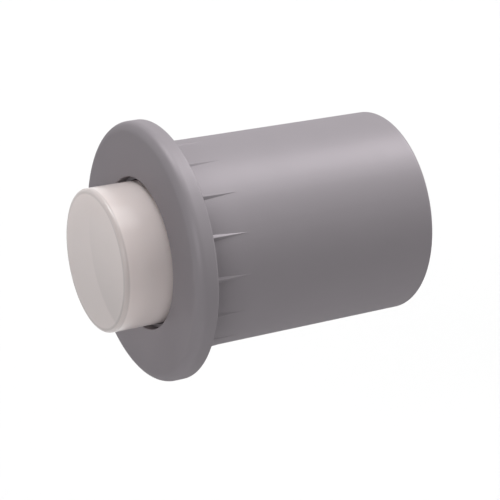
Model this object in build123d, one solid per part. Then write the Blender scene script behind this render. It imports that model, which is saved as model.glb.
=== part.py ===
from build123d import *
import math
import os

# Soft close damper, pushed into a drilled hole. Millimetres.
# The damper lies along Y: the button faces -Y, the barrel's closed end faces +Y.
# The origin is on the axis, in the plane of the flange's back face, which seats on the panel.

# Housing, from the outside in
flange_radius = 6.25
flange_thickness = 1.05
flange_front_round = 0.49
flange_back_round = 0.10
barrel_radius = 5.00
barrel_length = 12.40
barrel_end_round = 0.20
housing_wall = 0.88
cartridge_shoulder = 0.22
front_wall = 0.60
mouth_gap = 0.23
mouth_depth = 0.50
mouth_round = 0.06

# Crush ribs on the barrel, behind the flange
rib_count = 16
rib_height = 0.115
rib_half_width = 0.20
rib_length = 2.40
rib_root_depth = 0.30
rib_overrun = 0.20

# Button
button_protrusion = 2.25
button_edge_round = 0.18
button_face_wall = 1.00
button_side_wall = 0.70
button_inner_round = 0.25
collar_lip = 0.37
collar_thickness = 0.70
collar_gap = 0.10
boss_wall = 0.43
boss_gap = 1.50
boss_floor = 0.50

# Clearances
guide_gap = 0.06
running_gap = 0.05
seat_gap = 0.02
stop_gap = 0.40
chamber_front_gap = 0.10
chamber_end_gap = 0.15

# Piston rod
rod_radius = 0.75
rod_step = 0.25
rod_tail = 0.15
rod_chamfer = 0.08
clip_groove_depth = 0.15

# Return spring
wire_diameter = 0.35
spring_coils = 6.5

# Cylinder with its cover
cylinder_wall = 0.80
chamber_step = 0.20
cylinder_bottom = 0.60
bush_length = 0.90
bush_wall = 0.58
cover_web = 0.20
cover_hole_gap = 0.20
ring_section = 0.36
ring_groove_width = 0.46

# Seals, foam and washers
seal_length = 0.80
seal_width = 1.20
seal_groove_depth = 0.45
seal_groove_width = 0.40
washer_thickness = 0.30
foam_length = 0.90
foam_rod_gap = 0.50
foam_bore_gap = 0.10
baffle_thickness = 0.30
baffle_hole_count = 6
baffle_hole_diameter = 0.50

# Piston
piston_length = 0.90
port_count = 4
port_diameter = 0.50
piston_ring_width = 0.40
piston_ring_depth = 0.30
piston_ring_split = 0.12
valve_thickness = 0.15
valve_overlap = 0.25
valve_play = 0.05
bleed_diameter = 0.20
clip_thickness = 0.20
clip_width = 0.55
clip_mouth = 0.60

# Rear plug
plug_thickness = 0.80
plug_chamfer = 0.10
plug_dish_depth = 0.25
plug_rim = 1.30

# Radii that follow
cartridge_bore = barrel_radius - housing_wall
front_bore = cartridge_bore - cartridge_shoulder
collar_radius = front_bore - collar_gap
button_radius = collar_radius - collar_lip
button_bore = button_radius - button_side_wall
guide_bore = button_radius + guide_gap
mouth_radius = button_radius + mouth_gap
socket_radius = rod_radius + seat_gap
boss_radius = socket_radius + boss_wall
cylinder_radius = cartridge_bore - seat_gap
cover_bore = cylinder_radius - cylinder_wall
chamber_radius = cover_bore - chamber_step
cover_radius = cover_bore - seat_gap
rod_hole = rod_radius + cover_hole_gap
bush_radius = rod_radius + running_gap + bush_wall
seal_radius = rod_radius + seat_gap + seal_width
piston_radius = chamber_radius - running_gap
tail_radius = rod_radius - rod_step
port_circle = (tail_radius + piston_radius - piston_ring_depth) / 2
o_ring_groove_radius = cover_radius - ring_section - seat_gap

# Travel of the button, from what the stack of pieces leaves free in the barrel's length.
# The barrel has room for it twice, once behind the collar and once behind the piston.
stack_length = (
    front_wall + collar_thickness + stop_gap
    + bush_length + cover_web + seal_length + washer_thickness + foam_length + baffle_thickness
    + chamber_front_gap + piston_length + valve_thickness + valve_play + clip_thickness + rod_tail
    + chamber_end_gap + cylinder_bottom + plug_thickness
)
button_travel = (barrel_length - stack_length) / 2

# Places along Y that follow, from the button's face to the barrel's end
flange_front = -flange_thickness
button_face = flange_front - button_protrusion
button_ceiling = button_face + button_face_wall
socket_floor = button_ceiling + boss_floor
collar_back = front_wall + collar_thickness
cylinder_front = collar_back + button_travel + stop_gap
boss_end = cylinder_front - button_travel - boss_gap
bush_back = cylinder_front + bush_length
seal_front = bush_back + cover_web
cover_back = seal_front + seal_length
washer_back = cover_back + washer_thickness
foam_back = washer_back + foam_length
chamber_front = foam_back + baffle_thickness
piston_front = chamber_front + chamber_front_gap
piston_back = piston_front + piston_length
valve_back = piston_back + valve_thickness
clip_front = valve_back + valve_play
clip_back = clip_front + clip_thickness
rod_end = clip_back + rod_tail
chamber_end = rod_end + button_travel + chamber_end_gap
cylinder_back = chamber_end + cylinder_bottom
o_ring_middle = (cylinder_front + cover_back) / 2
o_ring_groove_front = o_ring_middle - ring_groove_width / 2
o_ring_groove_back = o_ring_middle + ring_groove_width / 2
piston_ring_middle = (piston_front + piston_back) / 2
piston_groove_front = piston_ring_middle - piston_ring_width / 2
piston_groove_back = piston_ring_middle + piston_ring_width / 2


def turned(*corners):
    """Turn an outline about the Y axis. A corner is (radius, y), or (radius, y, edge round)."""
    face = make_face(Polyline([corner[:2] for corner in corners], close=True))
    for radius, y, edge_round in [corner for corner in corners if len(corner) == 3]:
        vertex = face.vertices().sort_by_distance((radius, y, 0))[0]
        face = fillet(vertex, edge_round)
    return revolve(face, Axis.Y)


def ring(inner, outer, front, back):
    """A plain ring with a square section."""
    return turned((inner, front), (outer, front), (outer, back), (inner, back))


def hole(radius, front, back, offset=0.0):
    """A round cutter along Y, its centre moved off the axis along X."""
    length = back - front
    return Pos(offset, front + length / 2, 0) * Rot(90, 0, 0) * Cylinder(radius, length)


def around(shape, count):
    """Copies of a shape, evenly spaced about the Y axis, the first one as it is."""
    return [Rot(0, 360 / count * index, 0) * shape for index in range(count)]


def crush_rib():
    """A wedge on the barrel's top line, highest at the flange and running out to nothing."""
    slope = rib_height / rib_length
    front = -rib_overrun
    front_height = rib_height + slope * rib_overrun
    root_half_width = rib_half_width * (front_height + rib_root_depth) / rib_height
    root = barrel_radius - rib_root_depth
    back = (barrel_radius + rib_height - root) / slope
    return ConvexPolyhedron(
        [
            (0, front, barrel_radius + front_height),
            (-root_half_width, front, root),
            (root_half_width, front, root),
            (0, back, root),
        ]
    )


def make_housing():
    body = turned(
        (mouth_radius, flange_front, mouth_round),
        (flange_radius, flange_front, flange_front_round),
        (flange_radius, 0, flange_back_round),
        (barrel_radius, 0),
        (barrel_radius, barrel_length, barrel_end_round),
        (cartridge_bore, barrel_length),
        (cartridge_bore, cylinder_front),
        (front_bore, cylinder_front),
        (front_bore, front_wall),
        (guide_bore, front_wall),
        (guide_bore, flange_front + mouth_depth),
        (mouth_radius, flange_front + mouth_depth),
    )
    return body + around(crush_rib(), rib_count)


def make_button():
    return turned(
        (0, button_face),
        (button_radius, button_face, button_edge_round),
        (button_radius, front_wall),
        (collar_radius, front_wall),
        (collar_radius, collar_back),
        (button_bore, collar_back),
        (button_bore, button_ceiling, button_inner_round),
        (boss_radius, button_ceiling, button_inner_round),
        (boss_radius, boss_end),
        (socket_radius, boss_end),
        (socket_radius, socket_floor),
        (0, socket_floor),
    )


def make_return_spring():
    """Coils between the button's ceiling and the cylinder's cover, with both ends ground flat."""
    length = cylinder_front - button_ceiling
    coil_radius = (boss_radius + button_bore) / 2
    path = Helix(
        pitch=length / spring_coils,
        height=length,
        radius=coil_radius,
        center=(0, button_ceiling, 0),
        direction=(0, 1, 0),
    )
    section = Plane(origin=path @ 0, z_dir=path % 0) * Circle(wire_diameter / 2)
    wire = sweep(section, path, is_frenet=True)
    ends = hole(coil_radius + wire_diameter, button_ceiling, cylinder_front)
    return wire & ends


def make_piston_rod():
    rod = turned(
        (0, socket_floor),
        (rod_radius - rod_chamfer, socket_floor),
        (rod_radius, socket_floor + rod_chamfer),
        (rod_radius, piston_front),
        (tail_radius, piston_front),
        (tail_radius, rod_end - rod_chamfer),
        (tail_radius - rod_chamfer, rod_end),
        (0, rod_end),
    )
    return rod - ring(tail_radius - clip_groove_depth, rod_radius, clip_front, clip_back)


def make_cylinder():
    return turned(
        (cover_bore, cylinder_front),
        (cylinder_radius, cylinder_front),
        (cylinder_radius, cylinder_back),
        (0, cylinder_back),
        (0, chamber_end),
        (chamber_radius, chamber_end),
        (chamber_radius, chamber_front),
        (cover_bore, chamber_front),
    )


def make_cylinder_cover():
    cover = turned(
        (bush_radius + seat_gap, cylinder_front),
        (cover_radius, cylinder_front),
        (cover_radius, cover_back),
        (seal_radius + seat_gap, cover_back),
        (seal_radius + seat_gap, seal_front),
        (rod_hole, seal_front),
        (rod_hole, bush_back),
        (bush_radius + seat_gap, bush_back),
    )
    return cover - ring(o_ring_groove_radius, cover_bore, o_ring_groove_front, o_ring_groove_back)


def make_cover_o_ring():
    middle_radius = cover_radius - ring_section / 2
    return Pos(0, o_ring_middle, 0) * Rot(90, 0, 0) * Torus(middle_radius, ring_section / 2)


def make_guide_bush():
    return ring(rod_radius + running_gap, bush_radius, cylinder_front, bush_back)


def make_rod_seal():
    """A lip seal, its groove open towards the oil."""
    inner = rod_radius + seat_gap
    middle = (inner + seal_radius) / 2
    return turned(
        (inner, seal_front),
        (seal_radius, seal_front),
        (seal_radius, cover_back),
        (middle + seal_groove_width / 2, cover_back),
        (middle, cover_back - seal_groove_depth),
        (middle - seal_groove_width / 2, cover_back),
        (inner, cover_back),
    )


def make_seal_washer():
    return ring(rod_hole, cover_radius, cover_back, washer_back)


def make_accumulator_foam():
    return ring(rod_radius + foam_rod_gap, cover_bore - foam_bore_gap, washer_back, foam_back)


def make_baffle_washer():
    washer = ring(rod_hole, cover_radius, foam_back, chamber_front)
    circle = (rod_hole + chamber_radius) / 2
    return washer - around(
        hole(baffle_hole_diameter / 2, foam_back, chamber_front, circle), baffle_hole_count
    )


def make_piston():
    disc = ring(tail_radius + seat_gap, piston_radius, piston_front, piston_back)
    groove = ring(
        piston_radius - piston_ring_depth, chamber_radius, piston_groove_front, piston_groove_back
    )
    port = hole(port_diameter / 2, piston_front, piston_back, port_circle)
    return disc - groove - around(port, port_count)


def make_piston_ring():
    """A split ring in the piston's groove."""
    band = ring(
        piston_radius - piston_ring_depth + seat_gap,
        chamber_radius - seat_gap,
        piston_groove_front + seat_gap,
        piston_groove_back - seat_gap,
    )
    split = Pos(0, piston_ring_middle, chamber_radius) * Box(
        piston_ring_split, piston_ring_width, 2 * piston_ring_depth + 2 * running_gap
    )
    return band - split


def make_valve_disc():
    """A thin disc that covers the piston's ports, with one small bleed hole over a port."""
    outer = port_circle + port_diameter / 2 + valve_overlap
    disc = ring(tail_radius + seat_gap, outer, piston_back, valve_back)
    return disc - hole(bleed_diameter / 2, piston_back, valve_back, port_circle)


def make_piston_clip():
    """A snap ring, open on one side, in the rod's groove."""
    inner = tail_radius - clip_groove_depth + seat_gap
    clip = ring(inner, inner + clip_width, clip_front, clip_back)
    middle = (clip_front + clip_back) / 2
    reach = inner + clip_width
    return clip - Pos(0, middle, reach / 2) * Box(clip_mouth, clip_thickness, reach)


def make_rear_plug():
    radius = cartridge_bore - seat_gap
    return turned(
        (0, cylinder_back),
        (radius, cylinder_back),
        (radius, barrel_length - plug_chamfer),
        (radius - plug_chamfer, barrel_length),
        (radius - plug_rim, barrel_length),
        (radius - plug_rim, barrel_length - plug_dish_depth),
        (0, barrel_length - plug_dish_depth),
    )


makers = [
    make_housing,
    make_button,
    make_return_spring,
    make_piston_rod,
    make_cylinder,
    make_cylinder_cover,
    make_cover_o_ring,
    make_guide_bush,
    make_rod_seal,
    make_seal_washer,
    make_accumulator_foam,
    make_baffle_washer,
    make_piston,
    make_piston_ring,
    make_valve_disc,
    make_piston_clip,
    make_rear_plug,
]

os.makedirs("parts", exist_ok=True)
for make in makers:
    node = make.__name__.removeprefix("make_")
    export_step(make(), f"parts/{node}.step")
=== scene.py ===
import math

import bmesh
import bpy
from mathutils import Matrix, Vector


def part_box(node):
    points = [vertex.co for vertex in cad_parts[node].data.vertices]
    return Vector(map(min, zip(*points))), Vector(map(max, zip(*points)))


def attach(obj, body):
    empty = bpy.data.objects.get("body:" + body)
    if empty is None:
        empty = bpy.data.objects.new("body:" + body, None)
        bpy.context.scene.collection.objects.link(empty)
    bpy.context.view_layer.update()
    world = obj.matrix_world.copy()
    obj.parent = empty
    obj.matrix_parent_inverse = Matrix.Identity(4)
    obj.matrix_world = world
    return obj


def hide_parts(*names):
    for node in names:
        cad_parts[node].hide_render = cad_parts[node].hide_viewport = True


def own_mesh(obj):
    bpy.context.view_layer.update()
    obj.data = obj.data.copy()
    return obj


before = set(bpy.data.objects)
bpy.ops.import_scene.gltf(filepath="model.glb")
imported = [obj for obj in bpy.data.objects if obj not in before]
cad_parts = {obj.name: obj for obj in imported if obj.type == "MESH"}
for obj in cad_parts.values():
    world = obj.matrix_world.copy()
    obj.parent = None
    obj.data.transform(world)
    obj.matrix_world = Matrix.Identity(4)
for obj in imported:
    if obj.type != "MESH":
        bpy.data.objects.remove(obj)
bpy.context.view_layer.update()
mm = 0.001

# Sizes read from the frame, in metres
housing_lo, housing_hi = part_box("housing")
button_lo, button_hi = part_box("button")
plug_lo, plug_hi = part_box("rear_plug")
flange_radius = housing_hi.x
flange_front = housing_lo.y
barrel_end = housing_hi.y
button_face = button_lo.y
collar_back = button_hi.y
collar_radius = button_hi.x
cylinder_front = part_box("cylinder")[0].y
plug_front = plug_lo.y
plug_radius = plug_hi.x

# Sizes of the housing, the button, the rear plug and the spring, in metres
flange_front_round = 0.49 * mm
flange_back_round = 0.10 * mm
barrel_radius = 5.00 * mm
barrel_end_round = 0.20 * mm
cartridge_bore = 4.12 * mm
front_bore = 3.90 * mm
front_wall = 0.60 * mm
guide_bore = 3.49 * mm
mouth_radius = 3.66 * mm
mouth_depth = 0.50 * mm
mouth_round = 0.06 * mm
rib_count = 16
rib_height = 0.115 * mm
rib_half_width = 0.20 * mm
rib_length = 2.40 * mm
button_radius = 3.43 * mm
button_bore = 2.73 * mm
button_ceiling = -2.30 * mm
button_edge_round = 0.18 * mm
button_inner_round = 0.25 * mm
boss_radius = 1.20 * mm
boss_end = 0.20 * mm
socket_radius = 0.77 * mm
socket_floor = -1.80 * mm
plug_dish_radius = 2.80 * mm
plug_dish_depth = 0.25 * mm
plug_chamfer = 0.10 * mm
small_round = 0.04 * mm
wire_radius = 0.175 * mm
coil_radius = 1.965 * mm
spring_coils = 6.5

# Fineness of the meshes. The support is a point beside each round, which keeps the flats flat.
round_steps = 8
fine_round_steps = 16
round_support = 0.03 * mm
turned_columns = 160
rib_rings = 12
steps_in_a_coil = 40
steps_round_the_wire = 12


def rounded(corners, steps=round_steps):
    """Points of a closed outline. A corner is (radius, y), or (radius, y, edge round)."""
    points = []
    count = len(corners)
    for index, corner in enumerate(corners):
        here = Vector(corner[:2])
        if len(corner) == 2:
            points.append(here)
            continue
        before = (Vector(corners[index - 1][:2]) - here).normalized()
        after = (Vector(corners[(index + 1) % count][:2]) - here).normalized()
        half = before.angle(after) / 2
        reach = corner[2] / math.tan(half)
        centre = here + (before + after).normalized() * (corner[2] / math.sin(half))
        start, end = here + before * reach, here + after * reach
        points.append(start + before * round_support)
        first, last = start - centre, end - centre
        turn = first.angle_signed(last)
        for step in range(steps + 1):
            share = step / steps
            points.append(centre + Matrix.Rotation(-turn * share, 2) @ first)
        points.append(end + after * round_support)
    return points


def mesh_object(name, bm, sharp_degrees=35):
    """A smooth-shaded object from a bmesh, with its hard edges kept."""
    bmesh.ops.remove_doubles(bm, verts=bm.verts, dist=1e-7)
    bmesh.ops.recalc_face_normals(bm, faces=bm.faces)
    mesh = bpy.data.meshes.new(name)
    bm.to_mesh(mesh)
    bm.free()
    mesh.shade_smooth()
    mesh.set_sharp_from_angle(angle=math.radians(sharp_degrees))
    piece = bpy.data.objects.new(name, mesh)
    bpy.context.scene.collection.objects.link(piece)
    return piece


def lathe(name, rings, columns, place, sharp_degrees=35):
    """Closed rings of vertices, joined to each other. place(ring, column) gives a point."""
    bm = bmesh.new()
    grid = [[bm.verts.new(place(ring, column)) for column in columns] for ring in rings]
    for row, following in zip(grid, grid[1:] + grid[:1]):
        for index in range(len(columns)):
            after = (index + 1) % len(columns)
            quad = [row[index], row[after], following[after], following[index]]
            bm.faces.new(quad)
    return mesh_object(name, bm, sharp_degrees)


def polar(radius, y, angle):
    """A point at a radius from the axis, its angle measured from the top."""
    return Vector((radius * math.sin(angle), y, radius * math.cos(angle)))


def turned(name, corners):
    """A piece turned about the axis from its rounded corners."""
    angles = [2 * math.pi * index / turned_columns for index in range(turned_columns)]
    return lathe(name, rounded(corners), angles, lambda ring, angle: polar(*ring, angle))


# Camera, at the photograph's angle. The focal length is in pixels of the photograph.
camera_azimuth = math.radians(61.146)
camera_elevation = math.radians(19.965)
camera_place = Vector((70.959, -34.106, 28.538)) * mm
picture_px = 500
focal_px = 1758.4
sensor_width = 36.0


def make_camera():
    """The camera, looking from the place and the angle that fit the photograph."""
    data = bpy.data.cameras.new("camera")
    data.sensor_width = sensor_width
    data.lens = sensor_width * focal_px / picture_px
    data.clip_start = 1 * mm
    data.clip_end = 10.0
    camera = bpy.data.objects.new("camera", data)
    bpy.context.scene.collection.objects.link(camera)
    back = Vector((
        math.sin(camera_azimuth) * math.cos(camera_elevation),
        -math.cos(camera_azimuth) * math.cos(camera_elevation),
        math.sin(camera_elevation),
    ))
    camera.location = camera_place
    camera.rotation_mode = "QUATERNION"
    camera.rotation_quaternion = (-back).to_track_quat("-Z", "Y")
    bpy.context.scene.camera = camera


# Housing: columns follow the crush ribs, so that each rib has clean edges. A share is a place
# across a rib, -1 and 1 at its feet. Within the ridge share of its middle, a rib is flat.
rib_shares = [-1.0, -0.55, -0.12, 0.0, 0.12, 0.55, 1.0]
degrees_between_ribs = [2.9, 4.6, 6.6, 8.8, 11.25, 13.7, 15.9, 17.9, 19.6]
rib_spacing = 2 * math.pi / rib_count
ridge_share = 0.06


def rib_columns():
    """(angle, share) of each column. Between two ribs the share is None."""
    columns = []
    for rib in range(rib_count):
        middle = rib * rib_spacing
        columns += [(middle, share) for share in rib_shares]
        columns += [(middle + math.radians(turn), None) for turn in degrees_between_ribs]
    return columns


def housing_point(ring, column):
    """A point of the housing, raised where it lies on a crush rib, which tapers to its end."""
    radius, y, raised = ring
    angle, share = column
    if share is None:
        return polar(radius, y, angle)
    left = min(max(0.0, 1 - y / rib_length), 1.0)
    if raised:
        radius += rib_height * left * (1 - max(abs(share), ridge_share))
    return polar(radius, y, angle + share * left * rib_half_width / barrel_radius)


def make_housing():
    """The barrel, its flange and the ring of crush ribs behind the flange, all one piece."""
    outline = rounded([
        (mouth_radius, flange_front, mouth_round),
        (flange_radius, flange_front, flange_front_round),
        (flange_radius, 0, flange_back_round),
        (barrel_radius, 0),
        (barrel_radius, rib_length),
        (barrel_radius, barrel_end, barrel_end_round),
        (cartridge_bore, barrel_end, small_round),
        (cartridge_bore, cylinder_front),
        (front_bore, cylinder_front),
        (front_bore, front_wall),
        (guide_bore, front_wall),
        (guide_bore, flange_front + mouth_depth),
        (mouth_radius, flange_front + mouth_depth),
    ], steps=fine_round_steps)
    rings = []
    for radius, y in outline:
        on_barrel = abs(radius - barrel_radius) < 1e-9 and y < barrel_end / 2
        rings.append((radius, y, on_barrel))
        if on_barrel and y == 0:
            for step in range(1, rib_rings):
                rings.append((radius, rib_length * step / rib_rings, True))
    housing = lathe("housing_shell", rings, rib_columns(), housing_point, sharp_degrees=20)
    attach(housing, "damper_body")
    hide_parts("housing")
    return housing


def make_button():
    """The button: a cup with a collar round its open end and a boss for the rod inside."""
    button = turned("button_cap", [
        (0, button_face),
        (button_radius, button_face, button_edge_round),
        (button_radius, front_wall),
        (collar_radius, front_wall),
        (collar_radius, collar_back),
        (button_bore, collar_back),
        (button_bore, button_ceiling, button_inner_round),
        (boss_radius, button_ceiling, button_inner_round),
        (boss_radius, boss_end),
        (socket_radius, boss_end),
        (socket_radius, socket_floor),
        (0, socket_floor),
    ])
    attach(button, "plunger")
    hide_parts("button")
    return button


def make_rear_plug():
    """The disc that closes the barrel's rear, with a shallow dish."""
    plug = turned("rear_plug_disc", [
        (0, plug_front),
        (plug_radius, plug_front),
        (plug_radius, barrel_end, plug_chamfer),
        (plug_dish_radius, barrel_end, small_round),
        (plug_dish_radius, barrel_end - plug_dish_depth, small_round),
        (0, barrel_end - plug_dish_depth),
    ])
    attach(plug, "damper_body")
    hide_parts("rear_plug")
    return plug


def make_return_spring():
    """Round wire wound in a helix, its ends ground flat against the button and the cover."""
    length = cylinder_front - button_ceiling
    steps = int(spring_coils * steps_in_a_coil)
    bm = bmesh.new()
    loops = []
    for step in range(steps + 1):
        share = step / steps
        angle = 2 * math.pi * spring_coils * share
        middle = button_ceiling + length * share
        loop = []
        for part in range(steps_round_the_wire):
            turn = 2 * math.pi * part / steps_round_the_wire
            radius = coil_radius + wire_radius * math.cos(turn)
            y = middle + wire_radius * math.sin(turn)
            y = min(max(y, button_ceiling), cylinder_front)
            loop.append(bm.verts.new(polar(radius, y, angle)))
        loops.append(loop)
    for loop, following in zip(loops, loops[1:]):
        for part in range(steps_round_the_wire):
            after = (part + 1) % steps_round_the_wire
            bm.faces.new([loop[part], loop[after], following[after], following[part]])
    bm.faces.new(loops[0])
    bm.faces.new(loops[-1])
    spring = mesh_object("return_spring_wire", bm)
    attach(spring, "damper_body")
    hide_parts("return_spring")
    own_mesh(spring)
    return spring


# Materials
def shader(name, color, roughness, metallic=0.0):
    """A new material, its nodes, its links and its main shader, with the plain values set."""
    material = bpy.data.materials.new(name)
    material.use_nodes = True
    nodes, links = material.node_tree.nodes, material.node_tree.links
    main = nodes["Principled BSDF"]
    main.inputs["Base Color"].default_value = (*color, 1)
    main.inputs["Roughness"].default_value = roughness
    main.inputs["Metallic"].default_value = metallic
    return material, nodes, links, main


def noise(nodes, links, scale, detail=3.0, stretch=(1, 1, 1)):
    """Noise on the object's own coordinates, its scale in waves a metre."""
    place = nodes.new("ShaderNodeTexCoord")
    mapping = nodes.new("ShaderNodeMapping")
    mapping.inputs["Scale"].default_value = stretch
    links.new(place.outputs["Object"], mapping.inputs["Vector"])
    texture = nodes.new("ShaderNodeTexNoise")
    texture.inputs["Scale"].default_value = scale
    texture.inputs["Detail"].default_value = detail
    links.new(mapping.outputs["Vector"], texture.inputs["Vector"])
    return texture.outputs["Fac"]


def spread(nodes, links, value, low, high):
    """A value from 0 to 1 taken to a range from low to high."""
    change = nodes.new("ShaderNodeMapRange")
    change.inputs["To Min"].default_value = low
    change.inputs["To Max"].default_value = high
    links.new(value, change.inputs["Value"])
    return change.outputs["Result"]


def blend_color(nodes, links, value, first, second):
    """A colour between two, by a value from 0 to 1."""
    mix = nodes.new("ShaderNodeMix")
    mix.data_type = "RGBA"
    mix.inputs["A"].default_value = (*first, 1)
    mix.inputs["B"].default_value = (*second, 1)
    links.new(value, mix.inputs["Factor"])
    return mix.outputs["Result"]


def add_bump(nodes, links, main, height, distance):
    """A fine relief on the surface, as deep as the distance."""
    bump = nodes.new("ShaderNodeBump")
    bump.inputs["Strength"].default_value = 1.0
    bump.inputs["Distance"].default_value = distance
    links.new(height, bump.inputs["Height"])
    links.new(bump.outputs["Normal"], main.inputs["Normal"])


def scaled(color, factor):
    """A colour made lighter or darker."""
    return tuple(channel * factor for channel in color)


# Grey plastic. A small share of metal stands for its gloss, because a plain gloss mirrors the
# white surroundings as bright rims.
grey = (0.310, 0.286, 0.305)
grey_metal_share = 0.13
grey_roughness = (0.38, 0.46)
grey_grain_depth = 0.0008 * mm

# Button plastic, which lets some light in
off_white = (0.860, 0.767, 0.748)
button_roughness = (0.20, 0.25)
button_grain_depth = 0.0005 * mm
inner_light_share = 0.4
inner_light_reach = 1.0 * mm
inner_light_color = (1.0, 0.95, 0.92)

# The button's face gets painted light and shade: a painted dark reflection as a line along its
# rounded edge, painted shade that makes the face darker downwards, and a faint patch of painted
# shade low on one side. The line starts inwards from the button's side, and ends behind the face.
edge_line_start = 0.30 * mm
edge_line_full = 0.17 * mm
edge_line_end = 0.26 * mm
edge_line_fade = 0.10 * mm
painted_edge_reflection_tone = 0.78
face_depth = 0.02 * mm
painted_low_shade_tone = 0.80
patch_centre = (3.5 * mm, 0, 1.45 * mm)
patch_radius = 4.0 * mm
patch_blur = 0.12 * mm
painted_patch_shade_tone = 0.88


def grey_plastic():
    """Moulded grey plastic: satin, with a very fine grain and faint clouds in the colour."""
    material, nodes, links, main = shader("grey_plastic", grey, 0.42)
    main.inputs["Specular IOR Level"].default_value = 0.0
    main.inputs["Metallic"].default_value = grey_metal_share
    clouds = noise(nodes, links, 350.0, 4.0)
    links.new(blend_color(nodes, links, clouds, scaled(grey, 0.975), scaled(grey, 1.025)),
              main.inputs["Base Color"])
    patches = noise(nodes, links, 1400.0)
    links.new(spread(nodes, links, patches, *grey_roughness), main.inputs["Roughness"])
    add_bump(nodes, links, main, noise(nodes, links, 22000.0, 2.0), grey_grain_depth)
    return material


def distance_from(nodes, links, centre, along=(1, 1, 1)):
    """How far a point of the surface is from a centre, along the axes that are given as 1."""
    place = nodes.new("ShaderNodeTexCoord")
    offset = nodes.new("ShaderNodeVectorMath")
    offset.operation = "SUBTRACT"
    offset.inputs[1].default_value = centre
    links.new(place.outputs["Object"], offset.inputs[0])
    kept = nodes.new("ShaderNodeVectorMath")
    kept.operation = "MULTIPLY"
    kept.inputs[1].default_value = along
    links.new(offset.outputs["Vector"], kept.inputs[0])
    length = nodes.new("ShaderNodeVectorMath")
    length.operation = "LENGTH"
    links.new(kept.outputs["Vector"], length.inputs[0])
    return length.outputs["Value"]


def soft_step(nodes, links, value, start, end):
    """0 below start and 1 above end, with a soft change between them. Start may be the larger."""
    change = nodes.new("ShaderNodeMapRange")
    change.interpolation_type = "SMOOTHSTEP"
    change.inputs["From Min"].default_value = start
    change.inputs["From Max"].default_value = end
    links.new(value, change.inputs["Value"])
    return change.outputs["Result"]


def product(nodes, links, first, second):
    """One mask from two, 1 where both are 1."""
    node = nodes.new("ShaderNodeMath")
    node.operation = "MULTIPLY"
    links.new(first, node.inputs[0])
    links.new(second, node.inputs[1])
    return node.outputs["Value"]


def shaded(nodes, links, color, mask, factor):
    """A colour made darker by a factor where a mask is 1."""
    mix = nodes.new("ShaderNodeMix")
    mix.data_type = "RGBA"
    mix.blend_type = "MULTIPLY"
    mix.inputs["B"].default_value = (factor, factor, factor, 1)
    links.new(color, mix.inputs["A"])
    links.new(mask, mix.inputs["Factor"])
    return mix.outputs["Result"]


def button_plastic():
    """Off-white plastic that lets some light in, with painted shade and a painted dark reflection
    on the button's face.
    """
    material, nodes, links, main = shader("button_plastic", off_white, 0.3)
    clouds = noise(nodes, links, 420.0, 3.0)
    color = blend_color(nodes, links, clouds, scaled(off_white, 0.985), scaled(off_white, 1.015))

    # Painted dark reflection: a darker line along the face's rounded edge.
    from_axis = distance_from(nodes, links, (0, 0, 0), (1, 0, 1))
    depth = distance_from(nodes, links, (0, button_face, 0), (0, 1, 0))
    outside = soft_step(nodes, links, from_axis, button_radius - edge_line_start,
                        button_radius - edge_line_full)
    near_face = soft_step(nodes, links, depth, edge_line_end, edge_line_end - edge_line_fade)
    on_painted_reflection = product(nodes, links, outside, near_face)
    color = shaded(nodes, links, color, on_painted_reflection, painted_edge_reflection_tone)

    # Painted shade: a faint darker patch low on one side of the face.
    from_patch = distance_from(nodes, links, patch_centre, (1, 0, 1))
    in_painted_patch = soft_step(nodes, links, from_patch, patch_radius + patch_blur,
                         patch_radius - patch_blur)
    # Painted shade: the face gets darker downwards.
    place = nodes.new("ShaderNodeTexCoord")
    height = nodes.new("ShaderNodeSeparateXYZ")
    links.new(place.outputs["Object"], height.inputs["Vector"])
    low = soft_step(nodes, links, height.outputs["Z"], button_radius, -button_radius)
    on_face = soft_step(nodes, links, depth, face_depth, 0.0)
    painted_low_shade = product(nodes, links, low, on_face)
    color = shaded(nodes, links, color, painted_low_shade, painted_low_shade_tone)
    color = shaded(nodes, links, color, product(nodes, links, in_painted_patch, painted_low_shade), painted_patch_shade_tone)
    links.new(color, main.inputs["Base Color"])

    main.inputs["Subsurface Weight"].default_value = inner_light_share
    main.inputs["Subsurface Radius"].default_value = inner_light_color
    main.inputs["Subsurface Scale"].default_value = inner_light_reach
    patches = noise(nodes, links, 1800.0)
    links.new(spread(nodes, links, patches, *button_roughness), main.inputs["Roughness"])
    add_bump(nodes, links, main, noise(nodes, links, 9000.0, 2.0), button_grain_depth)
    return material


def plain_finish(name, color, roughness, metallic, grain, depth, stretch=(1, 1, 1)):
    """A finish for a hidden piece: a colour that varies a little, and a grain.

    The grain is in waves a metre, and its depth in millimetres.
    """
    material, nodes, links, main = shader(name, color, roughness, metallic)
    clouds = noise(nodes, links, 600.0)
    links.new(blend_color(nodes, links, clouds, scaled(color, 0.94), scaled(color, 1.06)),
              main.inputs["Base Color"])
    add_bump(nodes, links, main, noise(nodes, links, grain, 2.0, stretch), depth * mm)
    return material


def dress(piece, material):
    """Gives a piece one material."""
    piece.data.materials.clear()
    piece.data.materials.append(material)


make_camera()
grey_finish = grey_plastic()
natural = plain_finish("natural_plastic", (0.72, 0.71, 0.67), 0.4, 0.0, 9000.0, 0.001)
black = plain_finish("piston_plastic", (0.03, 0.03, 0.033), 0.4, 0.0, 9000.0, 0.001)
ground_steel = plain_finish("ground_steel", (0.56, 0.57, 0.58), 0.25, 1.0, 6000.0, 0.002,
                            stretch=(1, 12, 1))
spring_steel = plain_finish("spring_steel", (0.46, 0.46, 0.47), 0.3, 1.0, 8000.0, 0.001)
bronze = plain_finish("bronze", (0.48, 0.33, 0.18), 0.45, 1.0, 12000.0, 0.003)
rubber = plain_finish("seal_rubber", (0.02, 0.02, 0.02), 0.6, 0.0, 7000.0, 0.002)
foam = plain_finish("foam", (0.06, 0.06, 0.065), 0.9, 0.0, 5000.0, 0.02)

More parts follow.
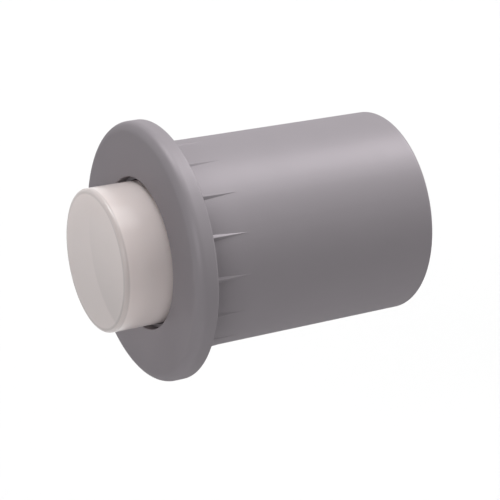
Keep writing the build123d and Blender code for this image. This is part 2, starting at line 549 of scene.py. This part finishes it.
dress(make_housing(), grey_finish)
dress(make_rear_plug(), grey_finish)
dress(make_button(), button_plastic())
dress(make_return_spring(), spring_steel)
hidden_finishes = {
    "piston_rod": ground_steel,
    "cylinder": natural,
    "cylinder_cover": natural,
    "cover_o_ring": rubber,
    "guide_bush": bronze,
    "rod_seal": rubber,
    "seal_washer": ground_steel,
    "accumulator_foam": foam,
    "baffle_washer": ground_steel,
    "piston": black,
    "piston_ring": black,
    "valve_disc": spring_steel,
    "piston_clip": spring_steel,
}
for node, finish in hidden_finishes.items():
    dress(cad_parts[node], finish)

# Floor and light. The floor lies low, so that its shadow falls outside the picture. Its colour is
# what is seen of it, and the bounce colour is what lights the object from below.
floor_height = -30 * mm
floor_radius = 3.0
floor_color = 0.75
bounce_color = 0.47
sky_strength = 0.0


def camera_mix(nodes, links, seen, other, output):
    """One shader for what the eye, mirrors and glass see, another for the light on the object."""
    path = nodes.new("ShaderNodeLightPath")
    either = nodes.new("ShaderNodeMath")
    either.operation = "MAXIMUM"
    links.new(path.outputs["Is Camera Ray"], either.inputs[0])
    links.new(path.outputs["Is Glossy Ray"], either.inputs[1])
    any_of = nodes.new("ShaderNodeMath")
    any_of.operation = "MAXIMUM"
    links.new(either.outputs["Value"], any_of.inputs[0])
    links.new(path.outputs["Is Transmission Ray"], any_of.inputs[1])
    mix = nodes.new("ShaderNodeMixShader")
    links.new(any_of.outputs["Value"], mix.inputs["Fac"])
    links.new(other, mix.inputs[1])
    links.new(seen, mix.inputs[2])
    links.new(mix.outputs["Shader"], output.inputs["Surface"])


def make_world():
    """Plain white round the object, as seen by the eye, mirrors and glass. It gives no light."""
    world = bpy.data.worlds.new("world")
    bpy.context.scene.world = world
    world.use_nodes = True
    nodes, links = world.node_tree.nodes, world.node_tree.links
    sky = nodes["Background"]
    sky.inputs["Color"].default_value = (1, 1, 1, 1)
    sky.inputs["Strength"].default_value = sky_strength
    white = nodes.new("ShaderNodeBackground")
    white.inputs["Color"].default_value = (1, 1, 1, 1)
    camera_mix(nodes, links, white.outputs["Background"], sky.outputs["Background"],
               nodes["World Output"])


def make_floor():
    """A pale floor that keeps the shadow, and bounces a little light back up."""
    bm = bmesh.new()
    bmesh.ops.create_circle(bm, cap_ends=True, radius=floor_radius, segments=96)
    floor = mesh_object("floor", bm)
    floor.location.z = floor_height
    material, nodes, links, pale = shader("pale_floor", (floor_color,) * 3, 0.9)
    bounce = nodes.new("ShaderNodeBsdfDiffuse")
    bounce.inputs["Color"].default_value = (*(bounce_color,) * 3, 1)
    camera_mix(nodes, links, pale.outputs["BSDF"], bounce.outputs["BSDF"],
               nodes["Material Output"])
    dress(floor, material)


def soft_lamp(name, azimuth, elevation, width, strength):
    """Soft light from far away. Azimuth 0 is in front of the button. All angles are degrees."""
    data = bpy.data.lights.new(name, "SUN")
    data.angle = math.radians(width)
    data.energy = strength
    light = bpy.data.objects.new(name, data)
    bpy.context.scene.collection.objects.link(light)
    turn, rise = math.radians(azimuth), math.radians(elevation)
    towards = Vector((
        math.sin(turn) * math.cos(rise),
        -math.cos(turn) * math.cos(rise),
        math.sin(rise),
    ))
    light.rotation_mode = "QUATERNION"
    light.rotation_quaternion = towards.to_track_quat("Z", "Y")


# Azimuth, elevation, width and strength of each lamp
lamps = {
    "back_lamp": (-176, 46, 29, 2.20),
    "high_back_lamp": (168, 65, 38, 0.66),
    "top_lamp": (0, 90, 29, 0.35),
    "top_front_lamp": (-54, 75, 29, 1.35),
    "side_lamp": (44, 16, 29, 0.74),
    "front_lamp": (-50, 16, 29, 0.22),
}
make_world()
make_floor()
for name, values in lamps.items():
    soft_lamp(name, *values)
bpy.context.scene.view_settings.view_transform = "Standard"
